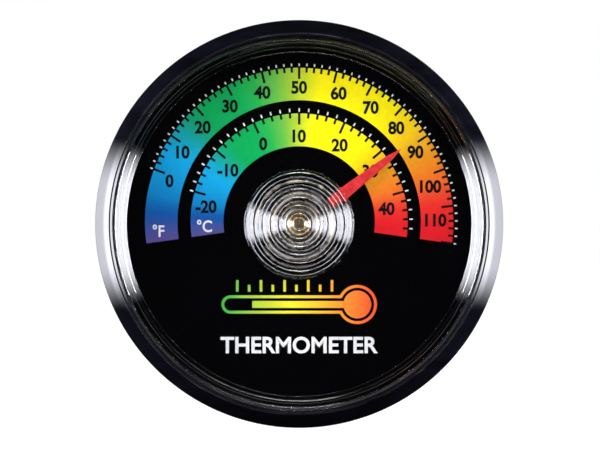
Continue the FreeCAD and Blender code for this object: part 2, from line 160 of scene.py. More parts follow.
def turned(name, points, material, body, replaced=()):
    """A solid turned about the dial's axis, with exact normals; its ends may lie on the axis."""
    vertices = []
    normals = []
    rings = []
    for point, normal in points:
        if point.x < 1e-6:
            rings.append([len(vertices)])
            vertices.append((0, -point.y * MM, 0))
            normals.append((0, -normal.y, 0))
            continue
        rings.append(range(len(vertices), len(vertices) + TURN_STEPS))
        for step in range(TURN_STEPS):
            turn = 2 * math.pi * step / TURN_STEPS
            across, up = math.sin(turn), math.cos(turn)
            vertices.append((point.x * across * MM, -point.y * MM, point.x * up * MM))
            normals.append((normal.x * across, -normal.y, normal.x * up))
    faces = []
    for index, ring in enumerate(rings):
        following = rings[(index + 1) % len(rings)]
        if len(ring) == 1 and len(following) == 1:
            continue
        for step in range(TURN_STEPS):
            after = (step + 1) % TURN_STEPS
            if len(ring) == 1:
                faces.append((ring[0], following[after], following[step]))
            elif len(following) == 1:
                faces.append((ring[step], ring[after], following[0]))
            else:
                faces.append((ring[step], ring[after], following[after], following[step]))
    mesh = bpy.data.meshes.new(name)
    mesh.from_pydata(vertices, [], faces)
    mesh.shade_smooth()
    mesh.normals_split_custom_set_from_vertices(normals)
    add_object(name, mesh, material, body, replaced)


def add_prism(bm, outline, back, front):
    """A closed prism from (x, z) points that run counter-clockwise seen from the front."""
    low = [bm.verts.new((x * MM, -back * MM, z * MM)) for x, z in outline]
    high = [bm.verts.new((x * MM, -front * MM, z * MM)) for x, z in outline]
    bm.faces.new(high)
    bm.faces.new(reversed(low))
    count = len(outline)
    for index in range(count):
        after = (index + 1) % count
        bm.faces.new((low[index], low[after], high[after], high[index]))


def finish_bmesh(bm, name, material, body):
    mesh = bpy.data.meshes.new(name)
    bm.to_mesh(mesh)
    bm.free()
    add_object(name, mesh, material, body)


MERGE_DISTANCE = 0.0005
FLAT_ANGLE = math.radians(0.5)  # faces that differ by less become one
EDGE_ANGLE = math.radians(28)   # edges sharper than this are rounded


def softened_copy(node, material, body, width, segments=2):
    """A copy of a CAD solid with its hard edges rounded, standing for that solid."""
    bm = bmesh.new()
    bm.from_mesh(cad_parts[node].data)
    bmesh.ops.remove_doubles(bm, verts=bm.verts, dist=MERGE_DISTANCE * MM)
    bmesh.ops.dissolve_limit(bm, angle_limit=FLAT_ANGLE, verts=bm.verts, edges=bm.edges)
    mesh = bpy.data.meshes.new(f"{node}_soft")
    bm.to_mesh(mesh)
    bm.free()
    mesh.materials.clear()
    piece = add_object(f"{node}_soft", mesh, material, body, (node,))
    mesh.shade_smooth()
    bevel = piece.modifiers.new("edges", "BEVEL")
    bevel.width = width * MM
    bevel.segments = segments
    bevel.limit_method = "ANGLE"
    bevel.angle_limit = EDGE_ANGLE
    bevel.use_clamp_overlap = True
    flat_faces = piece.modifiers.new("flat_faces", "WEIGHTED_NORMAL")
    flat_faces.weight = 100
    flat_faces.keep_sharp = True


# ---------------------------------------------------------------- materials

def srgb(red, green, blue):
    """A linear colour from 0-255 screen values."""
    def linear(value):
        value /= 255
        return value / 12.92 if value <= 0.04045 else ((value + 0.055) / 1.055) ** 2.4
    return (linear(red), linear(green), linear(blue), 1)


class Surface:
    """A node material around one Principled shader, with short ways to add texture."""

    def __init__(self, name, **values):
        self.material = bpy.data.materials.new(name)
        self.material.use_nodes = True
        self.nodes = self.material.node_tree.nodes
        self.links = self.material.node_tree.links
        self.shader = self.nodes["Principled BSDF"]
        self.place = self.nodes.new("ShaderNodeTexCoord").outputs["Object"]
        for socket, value in values.items():
            self.shader.inputs[socket.replace("_", " ")].default_value = value

    def node(self, kind, **settings):
        node = self.nodes.new(kind)
        for key, value in settings.items():
            setattr(node, key, value)
        return node

    def noise(self, scale, detail, stretch=(1, 1, 1)):
        """Noise with features about 1/scale metres across."""
        mapping = self.node("ShaderNodeMapping")
        mapping.inputs["Scale"].default_value = stretch
        texture = self.node("ShaderNodeTexNoise")
        texture.inputs["Scale"].default_value = scale
        texture.inputs["Detail"].default_value = detail
        self.links.new(self.place, mapping.inputs["Vector"])
        self.links.new(mapping.outputs["Vector"], texture.inputs["Vector"])
        return texture.outputs["Fac"]

    def ramp(self, factor, stops):
        node = self.node("ShaderNodeValToRGB")
        elements = node.color_ramp.elements
        while len(elements) < len(stops):
            elements.new(0.5)
        for element, (position, colour) in zip(elements, stops):
            element.position = position
            element.color = colour
        self.links.new(factor, node.inputs["Fac"])
        return node.outputs["Color"]

    def map(self, factor, low, high, start=0.3, stop=0.7):
        node = self.node("ShaderNodeMapRange")
        for name, value in (("From Min", start), ("From Max", stop),
                            ("To Min", low), ("To Max", high)):
            node.inputs[name].default_value = value
        self.links.new(factor, node.inputs["Value"])
        return node.outputs["Result"]

    def colour(self, output):
        self.links.new(output, self.shader.inputs["Base Color"])

    def vary_colour(self, factor, dark, light):
        self.colour(self.ramp(factor, [(0.3, dark), (0.7, light)]))

    def vary_roughness(self, factor, low, high):
        self.links.new(self.map(factor, low, high), self.shader.inputs["Roughness"])

    def bump(self, height, strength, distance):
        """Distance is in millimetres."""
        node = self.node("ShaderNodeBump")
        node.inputs["Strength"].default_value = strength
        node.inputs["Distance"].default_value = distance * MM
        self.links.new(height, node.inputs["Height"])
        self.links.new(node.outputs["Normal"], self.shader.inputs["Normal"])


def polished_black():
    """Moulded black plastic with a high polish, faint smears and a slight ripple."""
    surface = Surface("polished_black", IOR=1.62)
    smears = surface.noise(160, 6, (1, 1, 3))
    surface.vary_colour(smears, (0.002, 0.002, 0.004, 1), (0.006, 0.006, 0.011, 1))
    surface.vary_roughness(smears, 0.03, 0.1)
    surface.bump(surface.noise(300, 1), 0.05, 0.01)
    return surface.material


def moulded_black():
    """Fine spark-eroded matt black plastic."""
    surface = Surface("moulded_black", IOR=1.5)
    patches = surface.noise(90, 5)
    surface.vary_colour(patches, (0.012, 0.012, 0.014, 1), (0.02, 0.02, 0.022, 1))
    surface.vary_roughness(patches, 0.42, 0.58)
    surface.bump(surface.noise(5200, 3), 0.35, 0.03)
    return surface.material


def clear_plastic():
    """Clear moulded plastic. Lamps reach what is behind it: shadow rays pass straight through."""
    surface = Surface("clear_plastic", IOR=1.58, Transmission_Weight=1.0)
    surface.vary_roughness(surface.noise(140, 5), 0.0, 0.012)
    surface.shader.inputs["Base Color"].default_value = (0.985, 0.992, 1.0, 1)
    surface.bump(surface.noise(260, 2), 0.04, 0.01)
    path = surface.node("ShaderNodeLightPath")
    clear = surface.node("ShaderNodeBsdfTransparent")
    mix = surface.node("ShaderNodeMixShader")
    output = surface.nodes["Material Output"]
    surface.links.new(path.outputs["Is Shadow Ray"], mix.inputs["Fac"])
    surface.links.new(surface.shader.outputs["BSDF"], mix.inputs[1])
    surface.links.new(clear.outputs["BSDF"], mix.inputs[2])
    surface.links.new(mix.outputs["Shader"], output.inputs["Surface"])
    return surface.material


def printed(name, dark, light, roughness, shine=0.1):
    """A flat ink with the slight unevenness of a print."""
    surface = Surface(name, IOR=1.45, Specular_IOR_Level=shine)
    grain = surface.noise(2600, 3)
    surface.vary_colour(grain, dark, light)
    surface.vary_roughness(grain, roughness - 0.05, roughness + 0.08)
    return surface.material


BAND_HALF_ANGLE = 98.0
BAND_COLOURS = (                # dial angle, then the ink's colour on a 0-255 scale
    (-98, 88, 74, 140),
    (-94, 76, 80, 148),
    (-90, 48, 80, 154),
    (-86, 12, 84, 162),
    (-82, 8, 105, 174),
    (-78, 6, 130, 192),
    (-70, 14, 150, 208),
    (-62, 10, 166, 222),
    (-57, 14, 166, 206),
    (-50, 18, 163, 150),
    (-45, 8, 164, 108),
    (-41, 4, 165, 86),
    (-26, 6, 168, 84),
    (-18, 40, 178, 78),
    (-10, 102, 188, 74),
    (-6, 144, 198, 62),
    (-2, 178, 210, 56),
    (3, 216, 226, 40),
    (9, 255, 240, 8),
    (38, 255, 240, 8),
    (46, 250, 222, 10),
    (52, 250, 200, 28),
    (58, 244, 172, 32),
    (66, 246, 140, 32),
    (72, 246, 114, 38),
    (78, 240, 74, 42),
    (82, 239, 50, 42),
    (90, 232, 28, 38),
    (98, 222, 28, 38),
)


def rainbow_ink():
    """The scale's colours, which follow the angle round the dial."""
    surface = Surface("rainbow_ink", IOR=1.45, Specular_IOR_Level=0.1)
    split = surface.node("ShaderNodeSeparateXYZ")
    angle = surface.node("ShaderNodeMath", operation="ARCTAN2")
    surface.links.new(surface.place, split.inputs["Vector"])
    surface.links.new(split.outputs["X"], angle.inputs[0])
    surface.links.new(split.outputs["Z"], angle.inputs[1])
    limit = math.radians(BAND_HALF_ANGLE)
    share = surface.map(angle.outputs["Value"], 0, 1, -limit, limit)
    stops = [((turn + BAND_HALF_ANGLE) / (2 * BAND_HALF_ANGLE), srgb(*rgb))
             for turn, *rgb in BAND_COLOURS]
    colour = surface.ramp(share, stops)
    grain = surface.node("ShaderNodeMix", data_type="RGBA", blend_type="MULTIPLY")
    grain.inputs["Factor"].default_value = 1.0
    tone = surface.ramp(surface.noise(2400, 3),
                        [(0.3, (0.93, 0.93, 0.93, 1)), (0.7, (1, 1, 1, 1))])
    surface.links.new(colour, grain.inputs["A"])
    surface.links.new(tone, grain.inputs["B"])
    surface.colour(grain.outputs["Result"])
    surface.shader.inputs["Roughness"].default_value = 0.45
    return surface.material


SYMBOL_HALF_WIDTH = 11.5


def symbol_ink():
    """Green at the left of the little thermometer symbol, through yellow to orange at its bulb."""
    surface = Surface("symbol_ink", IOR=1.45, Specular_IOR_Level=0.2)
    split = surface.node("ShaderNodeSeparateXYZ")
    surface.links.new(surface.place, split.inputs["Vector"])
    limit = SYMBOL_HALF_WIDTH * MM
    share = surface.map(split.outputs["X"], 0, 1, -limit, limit)
    surface.colour(surface.ramp(share, [(0.05, srgb(70, 180, 70)), (0.45, srgb(240, 228, 40)),
                                        (0.75, srgb(245, 150, 40)), (0.95, srgb(238, 90, 40))]))
    surface.shader.inputs["Roughness"].default_value = 0.45
    return surface.material


def red_enamel():
    """Brushed-on red paint, a little mottled."""
    surface = Surface("red_enamel", IOR=1.5, Coat_Weight=0.3, Coat_Roughness=0.2)
    mottle = surface.noise(1500, 5)
    surface.vary_colour(mottle, srgb(176, 6, 16), srgb(222, 36, 40))
    surface.vary_roughness(mottle, 0.3, 0.5)
    surface.bump(mottle, 0.5, 0.04)
    return surface.material


def metal(name, dark, light, turned_marks=False):
    """A worked metal: turned marks run round the axis, and rolled or cut stock has a fine grain."""
    surface = Surface(name, Metallic=1.0)
    stains = surface.noise(700, 5)
    surface.vary_colour(stains, dark, light)
    surface.vary_roughness(stains, 0.18, 0.36)
    if turned_marks:
        wave = surface.node("ShaderNodeTexWave", wave_type="RINGS", rings_direction="Y")
        wave.inputs["Scale"].default_value = 2600
        wave.inputs["Distortion"].default_value = 1.5
        surface.links.new(surface.place, wave.inputs["Vector"])
        surface.bump(wave.outputs["Fac"], 0.3, 0.01)
    else:
        surface.bump(surface.noise(4000, 2, (1, 8, 1)), 0.25, 0.01)
    return surface.material


def woven_black(name, light):
    """Black nylon with a weave and a soft sheen."""
    surface = Surface(name, Sheen_Weight=0.4, Sheen_Roughness=0.5)
    surface.vary_colour(surface.noise(1800, 4), (0.008, 0.008, 0.009, 1), light)
    surface.shader.inputs["Roughness"].default_value = 0.8
    weave = surface.node("ShaderNodeTexWave", bands_direction="X")
    weave.inputs["Scale"].default_value = 900
    cross = surface.node("ShaderNodeTexWave", bands_direction="Z")
    cross.inputs["Scale"].default_value = 900
    both = surface.node("ShaderNodeMath", operation="MULTIPLY")
    for wave in (weave, cross):
        surface.links.new(surface.place, wave.inputs["Vector"])
    surface.links.new(weave.outputs["Fac"], both.inputs[0])
    surface.links.new(cross.outputs["Fac"], both.inputs[1])
    surface.bump(both.outputs["Value"], 0.8, 0.1)
    return surface.material


def adhesive_film():
    """Tacky film over a black backing, with the weave of its carrier showing through."""
    surface = Surface("adhesive_film", IOR=1.47, Coat_Weight=0.5, Coat_Roughness=0.25)
    surface.vary_colour(surface.noise(420, 6), (0.34, 0.33, 0.29, 1), (0.46, 0.44, 0.39, 1))
    surface.vary_roughness(surface.noise(900, 3), 0.3, 0.5)
    grid = surface.node("ShaderNodeTexVoronoi", feature="DISTANCE_TO_EDGE")
    grid.inputs["Scale"].default_value = 1400
    grid.inputs["Randomness"].default_value = 0.35
    surface.links.new(surface.place, grid.inputs["Vector"])
    surface.bump(grid.outputs["Distance"], 0.5, 0.06)
    return surface.material


# ---------------------------------------------------------------- case, bezel and lens

BEZEL_CHAMFER = 0.3
LIP_WIDTH = 0.5                 # of the flat between the bezel's opening and its roll
ROLL_RADIUS = 5.7
ROLL_STEPS = 12


def build_bezel(material):
    """The bezel: a crisp lip, a convex roll and small radii on its edges."""
    opening = BEZEL_RADIUS - 2.6
    inside = CASE_RADIUS + 0.06
    roll_start = (opening + LIP_WIDTH, BEZEL_FRONT)
    roll_end = (BEZEL_RADIUS, BEZEL_FRONT - ROLL_DROP)
    roll = arc_points(roll_start, roll_end, ROLL_RADIUS, ROLL_STEPS)
    corners = [
        (opening, BEZEL_FRONT - BEZEL_CHAMFER, 0.08),
        (opening + BEZEL_CHAMFER, BEZEL_FRONT - 0.02, 0.08),
        (roll_start[0], roll_start[1] - 0.01, 0.05),
    ]
    corners += [(radius, depth, 0) for radius, depth in roll[1:-1]]
    corners += [
        (roll_end[0], roll_end[1], 0.25),
        (BEZEL_RADIUS, BEZEL_BACK + BEZEL_CHAMFER, 0.15),
        (BEZEL_RADIUS - BEZEL_CHAMFER, BEZEL_BACK, 0.15),
        (inside, BEZEL_BACK, 0.1),
        (inside, FLANGE_FRONT, 0.05),
        (opening, FLANGE_FRONT, 0.05),
    ]
    turned("bezel", rounded_outline(corners), material, "case", ("bezel_ring",))


def arc_points(start, end, radius, steps):
    """Points of the short arc from start to end that bulges away from the axis and forwards."""
    first, last = Vector(start), Vector(end)
    chord = last - first
    across = Vector((chord.y, -chord.x)).normalized()
    centre = (first + last) / 2 + across * math.sqrt(radius ** 2 - chord.length ** 2 / 4)
    to_first = (first - centre).normalized()
    to_last = (last - centre).normalized()
    return [tuple(centre + to_first.slerp(to_last, step / steps) * radius)
            for step in range(steps + 1)]


RING_PITCH = 1.2
RING_COUNT = 6
FIRST_GROOVE = 0.65             # radius of the innermost groove
FLANK_SLOPE = 0.675             # of a ring's side, at its foot
FLANK_CURVE = 0.271             # how fast the side flattens towards its crest, per millimetre
FLANK_STEPS = 5
GROOVE_WIDTH = 0.2
WINDOW_THICKNESS = 1.6
BORDER_FOOT = 25.3              # radius where the window's border begins to rise
BORDER_KNEE = (26.3, 0.67)      # radius and rise where its slope changes
BORDER_RISE = 1.1
BORDER_LAND = 0.2               # width of the flat on top of the border
FLANGE_THICKNESS = 0.6
SKIRT_WIDTH = 1.2
SKIRT_GAP = 0.01                # between the skirt and the label
COIL_ROOM = 6.9                 # radius of the hollow under the boss


def ring_corners(start, groove):
    """One ring of the boss: a low ridge with slightly rounded sides and a flat groove before it."""
    start += GROOVE_WIDTH / 2
    half = (RING_PITCH - GROOVE_WIDTH) / 2

    def depth(across):
        return groove + FLANK_SLOPE * across - FLANK_CURVE * across ** 2

    steps = [half * step / FLANK_STEPS for step in range(1, FLANK_STEPS)]
    rising = [(start + across, depth(across), 0) for across in steps]
    falling = [(start + 2 * half - across, depth(across), 0) for across in reversed(steps)]
    crest = [(start + half, depth(half), 0.05)]
    ridge = rising + crest + falling
    return [(start, groove, 0.03)] + ridge + [(start + 2 * half, groove, 0.03)]


def build_lens(material):
    """The clear window: a ringed boss in the middle, a rising border, a flange and a skirt."""
    window = COIL_FRONT + 0.4
    groove = COIL_FRONT + 1.65
    roof = COIL_FRONT + 0.6
    boss = FIRST_GROOVE + RING_PITCH * RING_COUNT
    window_back = window - WINDOW_THICKNESS
    border_top = window + BORDER_RISE
    skirt_back = LABEL_FRONT + SKIRT_GAP
    inner_skirt = LENS_RADIUS - SKIRT_WIDTH
    corners = [(0, groove + 0.15, 0), (0.2, groove + 0.15, 0), (0.4, groove + 0.12, 0)]
    for ring in range(RING_COUNT):
        corners += ring_corners(FIRST_GROOVE + RING_PITCH * ring, groove)
    corners += [
        (boss, groove, 0.05),
        (boss + 0.1, window, 0.2),
        (BORDER_FOOT, window, 0.06),
        (BORDER_KNEE[0], window + BORDER_KNEE[1], 0.1),
        (LENS_RADIUS - BORDER_LAND, border_top, 0.06),
        (LENS_RADIUS, border_top, 0.08),
        (LENS_RADIUS, FLANGE_FRONT, 0.05),
        (LENS_FLANGE, FLANGE_FRONT, 0.08),
        (LENS_FLANGE, FLANGE_FRONT - FLANGE_THICKNESS, 0.08),
        (LENS_RADIUS, FLANGE_FRONT - FLANGE_THICKNESS, 0.05),
        (LENS_RADIUS, skirt_back, 0.1),
        (inner_skirt, skirt_back, 0.1),
        (inner_skirt, window_back, 0.25),
        (COIL_ROOM, window_back, 0.15),
        (COIL_ROOM, roof, 0.25),
        (0, roof, 0),
    ]
    turned("window", rounded_outline(corners), material, "case", ("lens",))


# ---------------------------------------------------------------- dial print

FAHRENHEIT_BAND = (18.0, 22.8)
CELSIUS_BAND = (11.2, 16.05)
FAHRENHEIT_PER_DEGREE = 1.4     # dial degrees for one degree Fahrenheit
CELSIUS_PER_DEGREE = 2.46
FAHRENHEIT_TOP = 50             # the reading at twelve o'clock
CELSIUS_TOP = 10
PRINT_LIFT = 0.3                # the print's middle stands this far above the case's


def fahrenheit_angle(value):
    return (value - FAHRENHEIT_TOP) * FAHRENHEIT_PER_DEGREE


def celsius_angle(value):
    return (value - CELSIUS_TOP) * CELSIUS_PER_DEGREE


def lifted(outline):
    return [(x, z + PRINT_LIFT) for x, z in outline]


BAND_STEPS = 98


def dial_arc(radius):
    """Points of an arc as long as the scale."""
    turns = [math.radians(BAND_HALF_ANGLE * (2 * step / BAND_STEPS - 1))
             for step in range(BAND_STEPS + 1)]
    return lifted([(radius * math.sin(turn), radius * math.cos(turn)) for turn in turns])


def build_band(name, radii, material):
    inner, outer = radii
    bm = bmesh.new()
    back, front = LABEL_FRONT, LABEL_FRONT + PRINT_HEIGHT
    rows = []
    for rim, hub in zip(dial_arc(outer), dial_arc(inner)):
        section = ((hub, back), (hub, front), (rim, front), (rim, back))
        rows.append([bm.verts.new((x * MM, -depth * MM, z * MM)) for (x, z), depth in section])
    for row, following in zip(rows, rows[1:]):
        for index in range(4):
            after = (index + 1) % 4
            bm.faces.new((row[index], row[after], following[after], following[index]))
    bm.faces.new(reversed(rows[0]))
    bm.faces.new(rows[-1])
    bmesh.ops.recalc_face_normals(bm, faces=bm.faces)
    finish_bmesh(bm, name, material, "case")


def tick_outline(angle, inner, outer, width):
    """Corners of a radial stroke."""
    turn = math.radians(angle)
    along = Vector((math.sin(turn), math.cos(turn)))
    across = Vector((math.cos(turn), -math.sin(turn))) * (width / 2)
    corners = (along * inner - across, along * inner + across,
               along * outer + across, along * outer - across)
    return lifted([tuple(corner) for corner in corners])


def scale_readings():
    """Every tick: its angle, the band it belongs to and whether it is a numbered one."""
    for value in range(0, 121, 2):
        yield fahrenheit_angle(value), FAHRENHEIT_BAND, value % 10 == 0
    for value in range(-20, 49, 2):
        yield celsius_angle(value), CELSIUS_BAND, value % 10 == 0


WHITE_TICK_GAP = 0.25           # from a band's outer edge
WHITE_TICK_WIDTH = 0.2
FAHRENHEIT_WHITE_TICK = 0.38    # length
CELSIUS_WHITE_TICK = 0.5
BLACK_TICK_WIDTH = 0.35
LONG_TICK = 1.65                # at a numbered reading
SHORT_TICK = 0.7


def build_ticks(white, black):
    """White dots just outside each band and black strokes inside its edge."""
    outside = bmesh.new()
    inside = bmesh.new()
    base = LABEL_FRONT
    band_front = base + PRINT_HEIGHT
    for angle, band, numbered in scale_readings():
        edge = band[1]
        start = edge + WHITE_TICK_GAP
        length = FAHRENHEIT_WHITE_TICK if band == FAHRENHEIT_BAND else CELSIUS_WHITE_TICK
        outline = tick_outline(angle, start, start + length, WHITE_TICK_WIDTH)
        add_prism(outside, outline, base, band_front)
        length = LONG_TICK if numbered else SHORT_TICK
        outline = tick_outline(angle, edge - length, edge, BLACK_TICK_WIDTH)
        add_prism(inside, outline, band_front, band_front + PRINT_HEIGHT)
    finish_bmesh(outside, "white_ticks", white, "case")
    finish_bmesh(inside, "black_ticks", black, "case")


CAPITAL_HEIGHT = 0.66           # height of a figure in the built-in font at size 1


def add_words(bm, words, height, centre, depth, narrow, weight):
    """Add upright lettering to a mesh, its middle at centre (x, z).

    Its width is multiplied by narrow, and weight thickens the strokes.
    """
    curve = bpy.data.curves.new("words", "FONT")
    curve.body = words
    curve.size = 1.0
    curve.offset = weight
    curve.extrude = 0.5
    curve.resolution_u = 4
    holder = bpy.data.objects.new("words", curve)
    bpy.context.scene.collection.objects.link(holder)
    bpy.context.view_layer.update()
    evaluated = holder.evaluated_get(bpy.context.evaluated_depsgraph_get())
    mesh = bpy.data.meshes.new_from_object(evaluated)
    bpy.data.objects.remove(holder)
    xs = [vertex.co.x for vertex in mesh.vertices]
    ys = [vertex.co.y for vertex in mesh.vertices]
    scale = height / CAPITAL_HEIGHT
    middle_x = (min(xs) + max(xs)) / 2
    middle_y = (min(ys) + max(ys)) / 2
    for vertex in mesh.vertices:
        x = centre[0] + (vertex.co.x - middle_x) * scale * narrow
        z = centre[1] + (vertex.co.y - middle_y) * scale
        lift = depth + (PRINT_HEIGHT if vertex.co.z > 0 else 0)
        vertex.co = Vector((x, -lift, z)) * MM
    bm.from_mesh(mesh)
    bpy.data.meshes.remove(mesh)


NUMERAL_HEIGHT = 1.65
UNIT_HEIGHT = 1.58
WORD_HEIGHT = 2.2
FAHRENHEIT_NUMERAL_RADIUS = 20.2
FAHRENHEIT_NUMERALS = (         # reading, then the dial angle of its middle
    (0, -71.6), (10, -58.3), (20, -44.9), (30, -30.4), (40, -15.7), (50, 0.0),
    (60, 16.8), (70, 31.6), (80, 45.3), (90, 58.3), (100, 74.1), (110, 88.4),
)
CELSIUS_NUMERALS = (            # reading, dial angle, radius
    (-20, -79.5, 14.0), (-10, -53.0, 13.2), (0, -24.2, 13.0), (10, 0.0, 13.0),
    (20, 27.2, 13.1), (30, 53.3, 13.1), (40, 80.1, 13.1),
)


def build_numerals(black, white):
    bm = bmesh.new()
    band_front = LABEL_FRONT + PRINT_HEIGHT
    readings = [(value, angle, FAHRENHEIT_NUMERAL_RADIUS) for value, angle in FAHRENHEIT_NUMERALS]
    readings += CELSIUS_NUMERALS
    for value, angle, radius in readings:
        turn = math.radians(angle)
        centre = (radius * math.sin(turn), radius * math.cos(turn))
        add_words(bm, str(value), NUMERAL_HEIGHT, centre, band_front, narrow=0.94, weight=0.038)
    finish_bmesh(bm, "numerals", black, "case")

    bm = bmesh.new()
    for unit, centre in (("°F", (-20.8, -1.0)), ("°C", (-14.0, -0.3))):
        add_words(bm, unit, UNIT_HEIGHT, centre, band_front, narrow=0.9, weight=0.018)
    add_words(bm, "THERMOMETER", WORD_HEIGHT, (0.0, -17.9), LABEL_FRONT, narrow=0.985,
              weight=0.024)
    finish_bmesh(bm, "lettering", white, "case")


SYMBOL_MIDDLE = -12.2           # height on the dial
SYMBOL_BULB = 2.9               # radius
SYMBOL_TUBE = 1.35              # half its width
SYMBOL_LINE = 0.42
COLUMN_START = 3.2              # from the middle of the tube's round end
COLUMN_OVERLAP = 0.15           # of the column and the bulb
GRADUATIONS = 9
GRADUATION_START = 1.0
GRADUATION_PITCH = 1.75
GRADUATION_GAP = 0.55
GRADUATION_HALF_WIDTH = 0.19


def circle_outline(x, z, radius, start=0.0, stop=360.0, steps=40):
    """Points counter-clockwise from start to stop degrees, where 0 is along +X."""
    turns = [math.radians(start + (stop - start) * step / steps) for step in range(steps + 1)]
    return [(x + radius * math.cos(t), z + radius * math.sin(t)) for t in turns]


def rectangle(left, right, bottom, top):
    return lifted([(left, bottom), (right, bottom), (right, top), (left, top)])


def build_symbol(material):
    """A plain thermometer symbol lying on its side: a tube with a bulb, and a few graduations."""
    bm = bmesh.new()
    back, front = LABEL_FRONT, LABEL_FRONT + PRINT_HEIGHT
    z = SYMBOL_MIDDLE
    bulb, tube, line = SYMBOL_BULB, SYMBOL_TUBE, SYMBOL_LINE
    bulb_x = SYMBOL_HALF_WIDTH - bulb
    tube_x = tube - SYMBOL_HALF_WIDTH

    def contour(shrink):
        widest = math.degrees(math.asin((tube - shrink) / (bulb - shrink)))
        points = circle_outline(bulb_x, z, bulb - shrink, widest - 180, 180 - widest)
        return points + circle_outline(tube_x, z, tube - shrink, 90, 270, 20)

    outer, inner = contour(0), contour(line)
    count = len(outer)
    for index in range(count):
        after = (index + 1) % count
        outline = lifted([outer[index], outer[after], inner[after], inner[index]])
        add_prism(bm, outline, back, front)
    add_prism(bm, lifted(circle_outline(bulb_x, z, bulb - 2 * line)[:-1]), back, front)
    column = tube - 2 * line
    left = tube_x + COLUMN_START
    right = bulb_x - bulb + 2 * line + COLUMN_OVERLAP
    add_prism(bm, rectangle(left, right, z - column, z + column), back, front)
    foot = z + tube + GRADUATION_GAP
    half = GRADUATION_HALF_WIDTH
    for index in range(GRADUATIONS):
        x = tube_x + GRADUATION_START + index * GRADUATION_PITCH
        rise = 1.7 if index % 2 == 0 else 1.0
        add_prism(bm, rectangle(x - half, x + half, foot, foot + rise), back, front)
    finish_bmesh(bm, "symbol", material, "case")


# ---------------------------------------------------------------- coil

COIL_START = 2.1                # radius at the slot, then at the outer end
COIL_END = 5.9
SLOT_ANGLE = 30.6               # of the post's slot on the dial
COIL_OVERRUN = 14.0             # degrees that the strip runs on past the pointer
COIL_TURNS = 5 + (POINTER_ANGLE - SLOT_ANGLE + COIL_OVERRUN) / 360
COIL_STEPS = 360
STRIP = 0.3                     # thickness
STRIP_EDGE = 0.06               # chamfer on its edges
TANG_BACK = 1.6                 # how far the tang passes the axis
TANG_STEPS = 6
BEND_RADIUS = 0.35              # where the tang turns into the spiral
BEND_STEPS = 6


def strip_section():
    """Corners of the strip's cross-section, (across its thickness, depth), edges chamfered."""
    half = STRIP / 2
    edge = STRIP_EDGE
    return [
        (-half, COIL_BACK + edge), (-half, COIL_FRONT - edge),
        (-half + edge, COIL_FRONT), (half - edge, COIL_FRONT),
        (half, COIL_FRONT - edge), (half, COIL_BACK + edge),
        (half - edge, COIL_BACK), (-half + edge, COIL_BACK),
    ]


def coil_path():
    """(point, outward direction, share of the way along) from the slot to the outer end."""
    slot = math.radians(SLOT_ANGLE)
    along = Vector((math.sin(slot), math.cos(slot)))
    across = Vector((math.cos(slot), -math.sin(slot)))
    path = []
    bend = BEND_RADIUS
    for step in range(TANG_STEPS + 1):
        distance = -TANG_BACK + (COIL_START - bend + TANG_BACK) * step / TANG_STEPS
        path.append((along * distance, -across, 0.0))
    for step in range(1, BEND_STEPS):
        turn = math.pi / 2 * step / BEND_STEPS
        centre = along * (COIL_START - bend) + across * bend
        outward = -across * math.cos(turn) + along * math.sin(turn)
        path.append((centre + outward * bend, outward, 0.0))
    first = math.asin(bend / COIL_START) / (2 * math.pi * COIL_TURNS)
    for step in range(COIL_STEPS + 1):
        share = first + (1 - first) * step / COIL_STEPS
        turn = slot + share * COIL_TURNS * 2 * math.pi
        radius = COIL_START + (COIL_END - COIL_START) * share
        outward = Vector((math.sin(turn), math.cos(turn)))
        path.append((outward * radius, outward, share))
    return path


BRASS, STEEL = 0, 1             # the coil's material indices
OUTER_CORNERS = (3, 4, 5)       # sides of the section that face outwards


def build_coil(brass_side, steel_side):
    """The bimetal spiral, which follows the post at its inner end and the pointer at its outer."""
    vertices = []
    shares = []
    faces = []
    materials = []
    section = strip_section()
    count = len(section)
    path = coil_path()
    for index, (point, outward, share) in enumerate(path):
        for offset, depth in section:
            place = point + outward * offset
            vertices.append((place.x * MM, -depth * MM, place.y * MM))
            shares.append(share)
        if index == 0:
            continue
        before = (index - 1) * count
        for corner in range(count):
            after = (corner + 1) % count
            here = before + count
            faces.append((before + corner, before + after, here + after, here + corner))
            materials.append(BRASS if corner in OUTER_CORNERS else STEEL)
    faces.append(tuple(range(count)))
    faces.append(tuple(reversed(range(len(vertices) - count, len(vertices)))))
    materials += [STEEL, STEEL]
    mesh = bpy.data.meshes.new("coil")
    mesh.from_pydata(vertices, [], faces)
    mesh.materials.append(brass_side)
    mesh.materials.append(steel_side)
    for face, material_index in zip(mesh.polygons, materials):
        face.material_index = material_index
        face.use_smooth = False
    bm = bmesh.new()
    bm.from_mesh(mesh)
    bmesh.ops.recalc_face_normals(bm, faces=bm.faces)
    bm.to_mesh(mesh)
    bm.free()
    coil = bpy.data.objects.new("coil", mesh)
    bpy.context.scene.collection.objects.link(coil)
    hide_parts("bimetal_coil")
    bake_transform(coil, "post", "pointer", start=(0, 0, 0), end=on_dial(COIL_END, POINTER_ANGLE))
    mesh.attributes["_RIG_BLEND"].data.foreach_set("value", shares)


# ---------------------------------------------------------------- hook-and-loop fastener

def add_fibre(bm, points, thickness):
    """A thin three-sided thread along points, both in metres."""
    rows = []
    for index, point in enumerate(points):
        ahead = points[min(index + 1, len(points) - 1)] - points[max(index - 1, 0)]
        side = ahead.orthogonal().normalized() * thickness
        turns = [Matrix.Rotation(math.radians(120 * corner), 3, ahead.normalized())
                 for corner in range(3)]
        rows.append([bm.verts.new(point + turn @ side) for turn in turns])
    for row, following in zip(rows, rows[1:]):
        for index in range(3):
            after = (index + 1) % 3
            bm.faces.new((row[index], row[after], following[after], following[index]))
    bm.faces.new(reversed(rows[0]))
    bm.faces.new(rows[-1])


